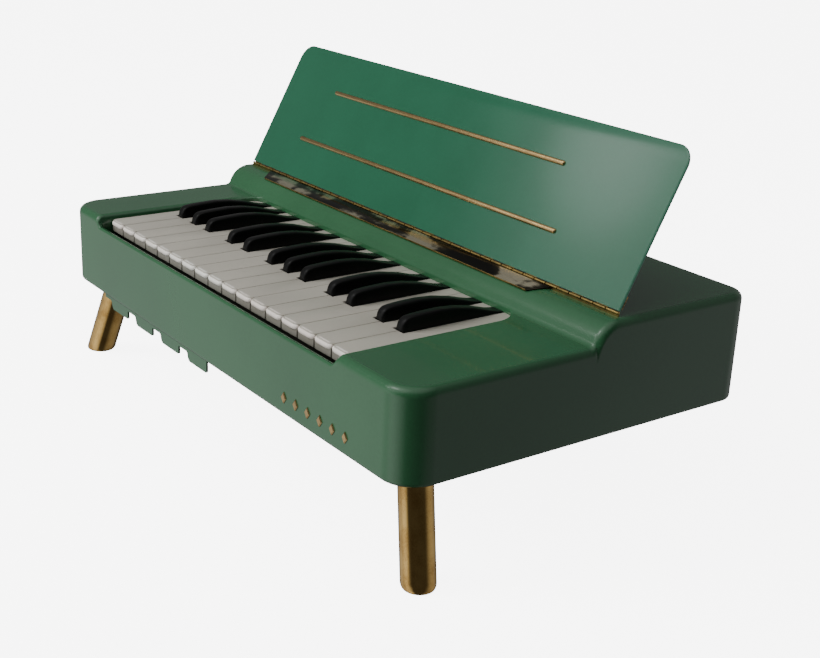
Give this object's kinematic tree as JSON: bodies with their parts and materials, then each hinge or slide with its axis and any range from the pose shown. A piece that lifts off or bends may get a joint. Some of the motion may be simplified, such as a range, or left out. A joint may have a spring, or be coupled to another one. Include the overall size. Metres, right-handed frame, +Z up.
{
  "type": "table-top electric reed organ",
  "caption": "Small table-top blown reed organ: rounded moulded case on splayed legs, sprung keys, fold-back music rest with hinge, ledge and strut, and a blower with wind chest inside.",
  "frame": {"origin": "on the ground under the middle of the instrument", "axes": "+X to the player's right along the keyboard, +Y away from the player, +Z up"},
  "size_m": [0.485, 0.2886, 0.2488],
  "materials": {
    "green_plastic": "glossy moulded, sage green",
    "ivory_plastic": "satin, warm white",
    "black_plastic": "glossy black",
    "brass": "polished",
    "reed_brass": "brushed",
    "fibre_board": "matt pressed board",
    "wood": "planed softwood",
    "felt": "red felt",
    "dark_plastic": "matt black moulded",
    "hose_rubber": "matt",
    "steel": "zinc plated"
  },
  "bodies": {
    "case": {"air_duct": "hose_rubber", "base_plate": "fibre_board", "base_screws": "steel", "blower_housing": "dark_plastic", "blower_motor": "steel", "case_top": "green_plastic", "front_trim": "brass", "hinge_leaf_case": "brass", "key_pivot_rod": "steel", "key_rail": "wood", "key_springs": "steel", "key_stop_felt": "felt", "key_stop_rail": "wood", "leg_front_left": "brass", "leg_front_right": "brass", "leg_rear": "brass", "leg_sockets": "steel", "mains_inlet": "dark_plastic", "music_ledge": "brass", "reed_plates": "reed_brass", "switch_body": "dark_plastic", "vent_comb": "green_plastic", "wind_chest": "fibre_board"},
    "rest": {"music_rest": "green_plastic", "rest_strip_lower": "brass", "rest_strip_upper": "brass", "hinge_leaf_rest": "brass", "strut_bracket": "brass"},
    "strut": {"rest_strut": "brass"},
    "fan": {"blower_fan": "dark_plastic"},
    "rocker": {"switch_rocker": "dark_plastic"},
    "white_key_01": {"white_key_01": "ivory_plastic"},
    "black_key_01": {"black_key_01": "black_plastic"},
    "white_key_02": {"white_key_02": "ivory_plastic"},
    "black_key_02": {"black_key_02": "black_plastic"},
    "white_key_03": {"white_key_03": "ivory_plastic"},
    "black_key_03": {"black_key_03": "black_plastic"},
    "white_key_04": {"white_key_04": "ivory_plastic"},
    "white_key_05": {"white_key_05": "ivory_plastic"},
    "black_key_04": {"black_key_04": "black_plastic"},
    "white_key_06": {"white_key_06": "ivory_plastic"},
    "black_key_05": {"black_key_05": "black_plastic"},
    "white_key_07": {"white_key_07": "ivory_plastic"},
    "white_key_08": {"white_key_08": "ivory_plastic"},
    "black_key_06": {"black_key_06": "black_plastic"},
    "white_key_09": {"white_key_09": "ivory_plastic"},
    "black_key_07": {"black_key_07": "black_plastic"},
    "white_key_10": {"white_key_10": "ivory_plastic"},
    "black_key_08": {"black_key_08": "black_plastic"},
    "white_key_11": {"white_key_11": "ivory_plastic"},
    "white_key_12": {"white_key_12": "ivory_plastic"},
    "black_key_09": {"black_key_09": "black_plastic"},
    "white_key_13": {"white_key_13": "ivory_plastic"},
    "black_key_10": {"black_key_10": "black_plastic"},
    "white_key_14": {"white_key_14": "ivory_plastic"},
    "white_key_15": {"white_key_15": "ivory_plastic"},
    "black_key_11": {"black_key_11": "black_plastic"},
    "white_key_16": {"white_key_16": "ivory_plastic"},
    "black_key_12": {"black_key_12": "black_plastic"},
    "white_key_17": {"white_key_17": "ivory_plastic"}
  },
  "joints": [
    {"name": "rest_fold", "type": "hinge", "parent": "case", "child": "rest", "pos_m": [0, 0.02505, 0.1482], "axis": [1, 0, 0], "range_deg": [-61.7, 0]},
    {"name": "strut_fold", "type": "hinge", "parent": "rest", "child": "strut", "pos_m": [0, 0.05217, 0.19266], "axis": [1, 0, 0], "range_deg": [0, 123.4]},
    {"name": "fan_spin", "type": "hinge", "parent": "case", "child": "fan", "pos_m": [0.199, -0.04725, 0.083], "axis": [0, 0, 1], "continuous": true},
    {"name": "switch_rock", "type": "hinge", "parent": "case", "child": "rocker", "pos_m": [0.11, 0.13665, 0.096], "axis": [1, 0, 0], "range_deg": [0, 14]},
    {"name": "white_key_01_press", "type": "hinge", "parent": "case", "child": "white_key_01", "pos_m": [-0.1725, 0.04475, 0.12395], "axis": [1, 0, 0], "range_deg": [0, 2.6], "stiffness_Nm_per_rad": 0.3, "springref_deg": -10.31},
    {"name": "black_key_01_press", "type": "hinge", "parent": "case", "child": "black_key_01", "pos_m": [-0.165, 0.04475, 0.12395], "axis": [1, 0, 0], "range_deg": [0, 2.6], "stiffness_Nm_per_rad": 0.3, "springref_deg": -10.31},
    {"name": "white_key_02_press", "type": "hinge", "parent": "case", "child": "white_key_02", "pos_m": [-0.1523, 0.04475, 0.12395], "axis": [1, 0, 0], "range_deg": [0, 2.6], "stiffness_Nm_per_rad": 0.3, "springref_deg": -10.31},
    {"name": "black_key_02_press", "type": "hinge", "parent": "case", "child": "black_key_02", "pos_m": [-0.1422, 0.04475, 0.12395], "axis": [1, 0, 0], "range_deg": [0, 2.6], "stiffness_Nm_per_rad": 0.3, "springref_deg": -10.31},
    {"name": "white_key_03_press", "type": "hinge", "parent": "case", "child": "white_key_03", "pos_m": [-0.1321, 0.04475, 0.12395], "axis": [1, 0, 0], "range_deg": [0, 2.6], "stiffness_Nm_per_rad": 0.3, "springref_deg": -10.31},
    {"name": "black_key_03_press", "type": "hinge", "parent": "case", "child": "black_key_03", "pos_m": [-0.1194, 0.04475, 0.12395], "axis": [1, 0, 0], "range_deg": [0, 2.6], "stiffness_Nm_per_rad": 0.3, "springref_deg": -10.31},
    {"name": "white_key_04_press", "type": "hinge", "parent": "case", "child": "white_key_04", "pos_m": [-0.1119, 0.04475, 0.12395], "axis": [1, 0, 0], "range_deg": [0, 2.6], "stiffness_Nm_per_rad": 0.3, "springref_deg": -10.31},
    {"name": "white_key_05_press", "type": "hinge", "parent": "case", "child": "white_key_05", "pos_m": [-0.0917, 0.04475, 0.12395], "axis": [1, 0, 0], "range_deg": [0, 2.6], "stiffness_Nm_per_rad": 0.3, "springref_deg": -10.31},
    {"name": "black_key_04_press", "type": "hinge", "parent": "case", "child": "black_key_04", "pos_m": [-0.0836, 0.04475, 0.12395], "axis": [1, 0, 0], "range_deg": [0, 2.6], "stiffness_Nm_per_rad": 0.3, "springref_deg": -10.31},
    {"name": "white_key_06_press", "type": "hinge", "parent": "case", "child": "white_key_06", "pos_m": [-0.0715, 0.04475, 0.12395], "axis": [1, 0, 0], "range_deg": [0, 2.6], "stiffness_Nm_per_rad": 0.3, "springref_deg": -10.31},
    {"name": "black_key_05_press", "type": "hinge", "parent": "case", "child": "black_key_05", "pos_m": [-0.0594, 0.04475, 0.12395], "axis": [1, 0, 0], "range_deg": [0, 2.6], "stiffness_Nm_per_rad": 0.3, "springref_deg": -10.31},
    {"name": "white_key_07_press", "type": "hinge", "parent": "case", "child": "white_key_07", "pos_m": [-0.0513, 0.04475, 0.12395], "axis": [1, 0, 0], "range_deg": [0, 2.6], "stiffness_Nm_per_rad": 0.3, "springref_deg": -10.31},
    {"name": "white_key_08_press", "type": "hinge", "parent": "case", "child": "white_key_08", "pos_m": [-0.0311, 0.04475, 0.12395], "axis": [1, 0, 0], "range_deg": [0, 2.6], "stiffness_Nm_per_rad": 0.3, "springref_deg": -10.31},
    {"name": "black_key_06_press", "type": "hinge", "parent": "case", "child": "black_key_06", "pos_m": [-0.0236, 0.04475, 0.12395], "axis": [1, 0, 0], "range_deg": [0, 2.6], "stiffness_Nm_per_rad": 0.3, "springref_deg": -10.31},
    {"name": "white_key_09_press", "type": "hinge", "parent": "case", "child": "white_key_09", "pos_m": [-0.0109, 0.04475, 0.12395], "axis": [1, 0, 0], "range_deg": [0, 2.6], "stiffness_Nm_per_rad": 0.3, "springref_deg": -10.31},
    {"name": "black_key_07_press", "type": "hinge", "parent": "case", "child": "black_key_07", "pos_m": [-0.0008, 0.04475, 0.12395], "axis": [1, 0, 0], "range_deg": [0, 2.6], "stiffness_Nm_per_rad": 0.3, "springref_deg": -10.31},
    {"name": "white_key_10_press", "type": "hinge", "parent": "case", "child": "white_key_10", "pos_m": [0.0093, 0.04475, 0.12395], "axis": [1, 0, 0], "range_deg": [0, 2.6], "stiffness_Nm_per_rad": 0.3, "springref_deg": -10.31},
    {"name": "black_key_08_press", "type": "hinge", "parent": "case", "child": "black_key_08", "pos_m": [0.022, 0.04475, 0.12395], "axis": [1, 0, 0], "range_deg": [0, 2.6], "stiffness_Nm_per_rad": 0.3, "springref_deg": -10.31},
    {"name": "white_key_11_press", "type": "hinge", "parent": "case", "child": "white_key_11", "pos_m": [0.0295, 0.04475, 0.12395], "axis": [1, 0, 0], "range_deg": [0, 2.6], "stiffness_Nm_per_rad": 0.3, "springref_deg": -10.31},
    {"name": "white_key_12_press", "type": "hinge", "parent": "case", "child": "white_key_12", "pos_m": [0.0497, 0.04475, 0.12395], "axis": [1, 0, 0], "range_deg": [0, 2.6], "stiffness_Nm_per_rad": 0.3, "springref_deg": -10.31},
    {"name": "black_key_09_press", "type": "hinge", "parent": "case", "child": "black_key_09", "pos_m": [0.0578, 0.04475, 0.12395], "axis": [1, 0, 0], "range_deg": [0, 2.6], "stiffness_Nm_per_rad": 0.3, "springref_deg": -10.31},
    {"name": "white_key_13_press", "type": "hinge", "parent": "case", "child": "white_key_13", "pos_m": [0.0699, 0.04475, 0.12395], "axis": [1, 0, 0], "range_deg": [0, 2.6], "stiffness_Nm_per_rad": 0.3, "springref_deg": -10.31},
    {"name": "black_key_10_press", "type": "hinge", "parent": "case", "child": "black_key_10", "pos_m": [0.082, 0.04475, 0.12395], "axis": [1, 0, 0], "range_deg": [0, 2.6], "stiffness_Nm_per_rad": 0.3, "springref_deg": -10.31},
    {"name": "white_key_14_press", "type": "hinge", "parent": "case", "child": "white_key_14", "pos_m": [0.0901, 0.04475, 0.12395], "axis": [1, 0, 0], "range_deg": [0, 2.6], "stiffness_Nm_per_rad": 0.3, "springref_deg": -10.31},
    {"name": "white_key_15_press", "type": "hinge", "parent": "case", "child": "white_key_15", "pos_m": [0.1103, 0.04475, 0.12395], "axis": [1, 0, 0], "range_deg": [0, 2.6], "stiffness_Nm_per_rad": 0.3, "springref_deg": -10.31},
    {"name": "black_key_11_press", "type": "hinge", "parent": "case", "child": "black_key_11", "pos_m": [0.1178, 0.04475, 0.12395], "axis": [1, 0, 0], "range_deg": [0, 2.6], "stiffness_Nm_per_rad": 0.3, "springref_deg": -10.31},
    {"name": "white_key_16_press", "type": "hinge", "parent": "case", "child": "white_key_16", "pos_m": [0.1305, 0.04475, 0.12395], "axis": [1, 0, 0], "range_deg": [0, 2.6], "stiffness_Nm_per_rad": 0.3, "springref_deg": -10.31},
    {"name": "black_key_12_press", "type": "hinge", "parent": "case", "child": "black_key_12", "pos_m": [0.1406, 0.04475, 0.12395], "axis": [1, 0, 0], "range_deg": [0, 2.6], "stiffness_Nm_per_rad": 0.3, "springref_deg": -10.31},
    {"name": "white_key_17_press", "type": "hinge", "parent": "case", "child": "white_key_17", "pos_m": [0.1507, 0.04475, 0.12395], "axis": [1, 0, 0], "range_deg": [0, 2.6], "stiffness_Nm_per_rad": 0.3, "springref_deg": -10.31}
  ],
  "couplings": [
    {"joint": "strut_fold", "follows": "rest_fold", "ratio": -2}
  ]
}
